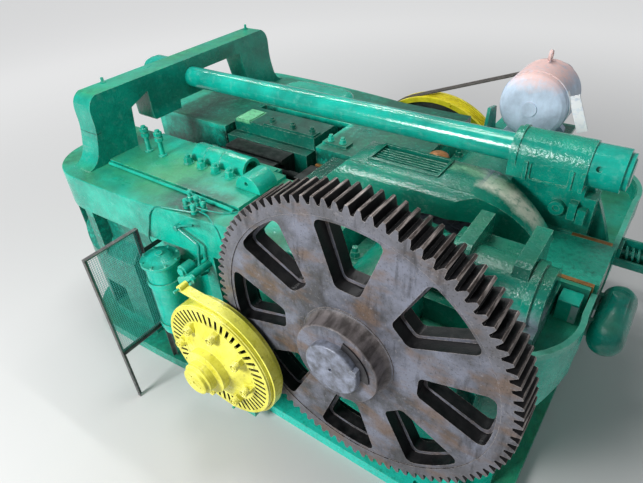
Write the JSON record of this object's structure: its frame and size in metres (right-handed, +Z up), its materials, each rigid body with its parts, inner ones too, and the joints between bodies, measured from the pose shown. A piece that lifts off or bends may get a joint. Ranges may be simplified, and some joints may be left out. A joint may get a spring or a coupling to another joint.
{
  "type": "forging upsetter",
  "caption": "Horizontal forging upsetter with a cast bed, overhead tie bar, open bull gear on the crankshaft, band-braked drive shaft and sliding header and die.",
  "frame": {"origin": "on the floor plane, straight under the crankshaft's axis, in the upright plane of the tie bar", "axes": "+Z up; +X from the stock throat towards the crank end, along the header's stroke; -Y towards the side with the bull gear"},
  "size_m": [6.054, 4.694, 2.9588],
  "materials": {
    "bed_frame": "thick glossy enamel over rough casting",
    "arch_yoke": "thick glossy enamel",
    "tie_bar": "glossy enamel",
    "front_nut": "glossy enamel",
    "rear_nut": "glossy enamel",
    "bar_anchor": "thick glossy enamel",
    "crank_bush_near": "machined bronze",
    "crank_bush_far": "machined bronze",
    "crank_cap_near": "thick glossy enamel",
    "crank_cap_far": "thick glossy enamel",
    "cap_nuts": "glossy enamel",
    "way_liners": "machined bronze, oily",
    "tail_gib_near": "bright worn bronze",
    "tail_gib_far": "bright worn bronze",
    "gib_keeper": "glossy enamel",
    "stationary_die": "ground die steel, scaled",
    "moving_die": "ground die steel, scaled",
    "die_slide": "glossy enamel with worn edges",
    "slide_bolts": "glossy enamel",
    "clamp_sleeve": "glossy enamel",
    "deck_boss": "glossy enamel",
    "die_bolts": "glossy enamel",
    "deck_studs": "glossy enamel",
    "toggle_cover": "glossy enamel",
    "drive_bearing_near": "glossy enamel",
    "drive_bearing_far": "glossy enamel",
    "v_belts": "dull black rubber",
    "motor_body": "pale satin enamel",
    "motor_bracket": "glossy enamel",
    "brake_band": "glossy enamel",
    "band_anchors": "glossy enamel",
    "air_cylinder": "glossy enamel",
    "cylinder_cap": "glossy enamel",
    "cylinder_bracket": "glossy enamel",
    "air_valve": "glossy enamel",
    "guard_frame": "dark enamel",
    "guard_mesh": "enamelled wire",
    "spring_rod": "oily steel",
    "coil_spring": "dark oily steel",
    "spring_channel": "glossy enamel",
    "air_tank": "glossy enamel",
    "tank_saddles": "glossy enamel",
    "crankshaft": "dark oily forged steel",
    "bull_gear": "dark oily worn iron, light rust",
    "gear_key": "oily steel",
    "key_keeper": "oily steel",
    "pitman": "dark oily forging",
    "pitman_cap": "dark oily forging",
    "wrist_pin": "ground steel",
    "header_slide": "thick glossy enamel",
    "hood_grating": "glossy enamel",
    "tool_holder": "scaled tool steel",
    "punches": "scaled tool steel",
    "drive_shaft": "oily turned steel",
    "pinion": "dark oily steel",
    "flywheel": "glossy enamel",
    "brake_drum": "glossy enamel, dusty",
    "hub_cap": "glossy enamel",
    "motor_rotor": "machined steel"
  },
  "bodies": {
    "machine": {"bed_frame": "bed_frame", "arch_yoke": "arch_yoke", "tie_bar": "tie_bar", "front_nut": "front_nut", "rear_nut": "rear_nut", "bar_anchor": "bar_anchor", "crank_bush_near": "crank_bush_near", "crank_bush_far": "crank_bush_far", "crank_cap_near": "crank_cap_near", "crank_cap_far": "crank_cap_far", "cap_nuts": "cap_nuts", "way_liners": "way_liners", "tail_gib_near": "tail_gib_near", "tail_gib_far": "tail_gib_far", "gib_keeper": "gib_keeper", "stationary_die": "stationary_die", "clamp_sleeve": "clamp_sleeve", "deck_boss": "deck_boss", "die_bolts": "die_bolts", "deck_studs": "deck_studs", "toggle_cover": "toggle_cover", "drive_bearing_near": "drive_bearing_near", "drive_bearing_far": "drive_bearing_far", "v_belts": "v_belts", "motor_body": "motor_body", "motor_bracket": "motor_bracket", "brake_band": "brake_band", "band_anchors": "band_anchors", "air_cylinder": "air_cylinder", "cylinder_cap": "cylinder_cap", "cylinder_bracket": "cylinder_bracket", "air_valve": "air_valve", "guard_frame": "guard_frame", "guard_mesh": "guard_mesh", "spring_rod": "spring_rod", "coil_spring": "coil_spring", "spring_channel": "spring_channel", "air_tank": "air_tank", "tank_saddles": "tank_saddles"},
    "crank_train": {"crankshaft": "crankshaft", "bull_gear": "bull_gear", "gear_key": "gear_key", "key_keeper": "key_keeper"},
    "pitman_set": {"pitman": "pitman", "pitman_cap": "pitman_cap", "wrist_pin": "wrist_pin"},
    "header": {"header_slide": "header_slide", "hood_grating": "hood_grating", "tool_holder": "tool_holder", "punches": "punches"},
    "die_ram": {"moving_die": "moving_die", "die_slide": "die_slide", "slide_bolts": "slide_bolts"},
    "drive_line": {"drive_shaft": "drive_shaft", "pinion": "pinion", "flywheel": "flywheel", "brake_drum": "brake_drum", "hub_cap": "hub_cap"},
    "motor_spindle": {"motor_rotor": "motor_rotor"}
  },
  "joints": [
    {"name": "crank_spin", "type": "hinge", "parent": "machine", "child": "crank_train", "pos_m": [0, -1, 1.74], "axis": [0, 1, 0], "continuous": true},
    {"name": "pitman_turn", "type": "hinge", "parent": "crank_train", "child": "pitman_set", "pos_m": [0.12, -0.3, 1.74], "axis": [0, 1, 0], "continuous": true},
    {"name": "header_stroke", "type": "slide", "parent": "machine", "child": "header", "axis": [1, 0, 0], "range_m": [-0.24, 0]},
    {"name": "die_stroke", "type": "slide", "parent": "machine", "child": "die_ram", "axis": [0, 1, 0], "range_m": [-0.04, 0.11]},
    {"name": "drive_spin", "type": "hinge", "parent": "machine", "child": "drive_line", "pos_m": [-1.23056, -1.754, 1.05226], "axis": [0, 1, 0], "continuous": true},
    {"name": "motor_spin", "type": "hinge", "parent": "machine", "child": "motor_spindle", "pos_m": [0.154, 2, 2.436], "axis": [0, 1, 0], "continuous": true}
  ],
  "couplings": [
    {"joint": "pitman_turn", "follows": "crank_spin", "ratio": -1},
    {"joint": "drive_spin", "follows": "crank_spin", "ratio": -5.5294},
    {"joint": "motor_spin", "follows": "crank_spin", "ratio": -38.185}
  ]
}
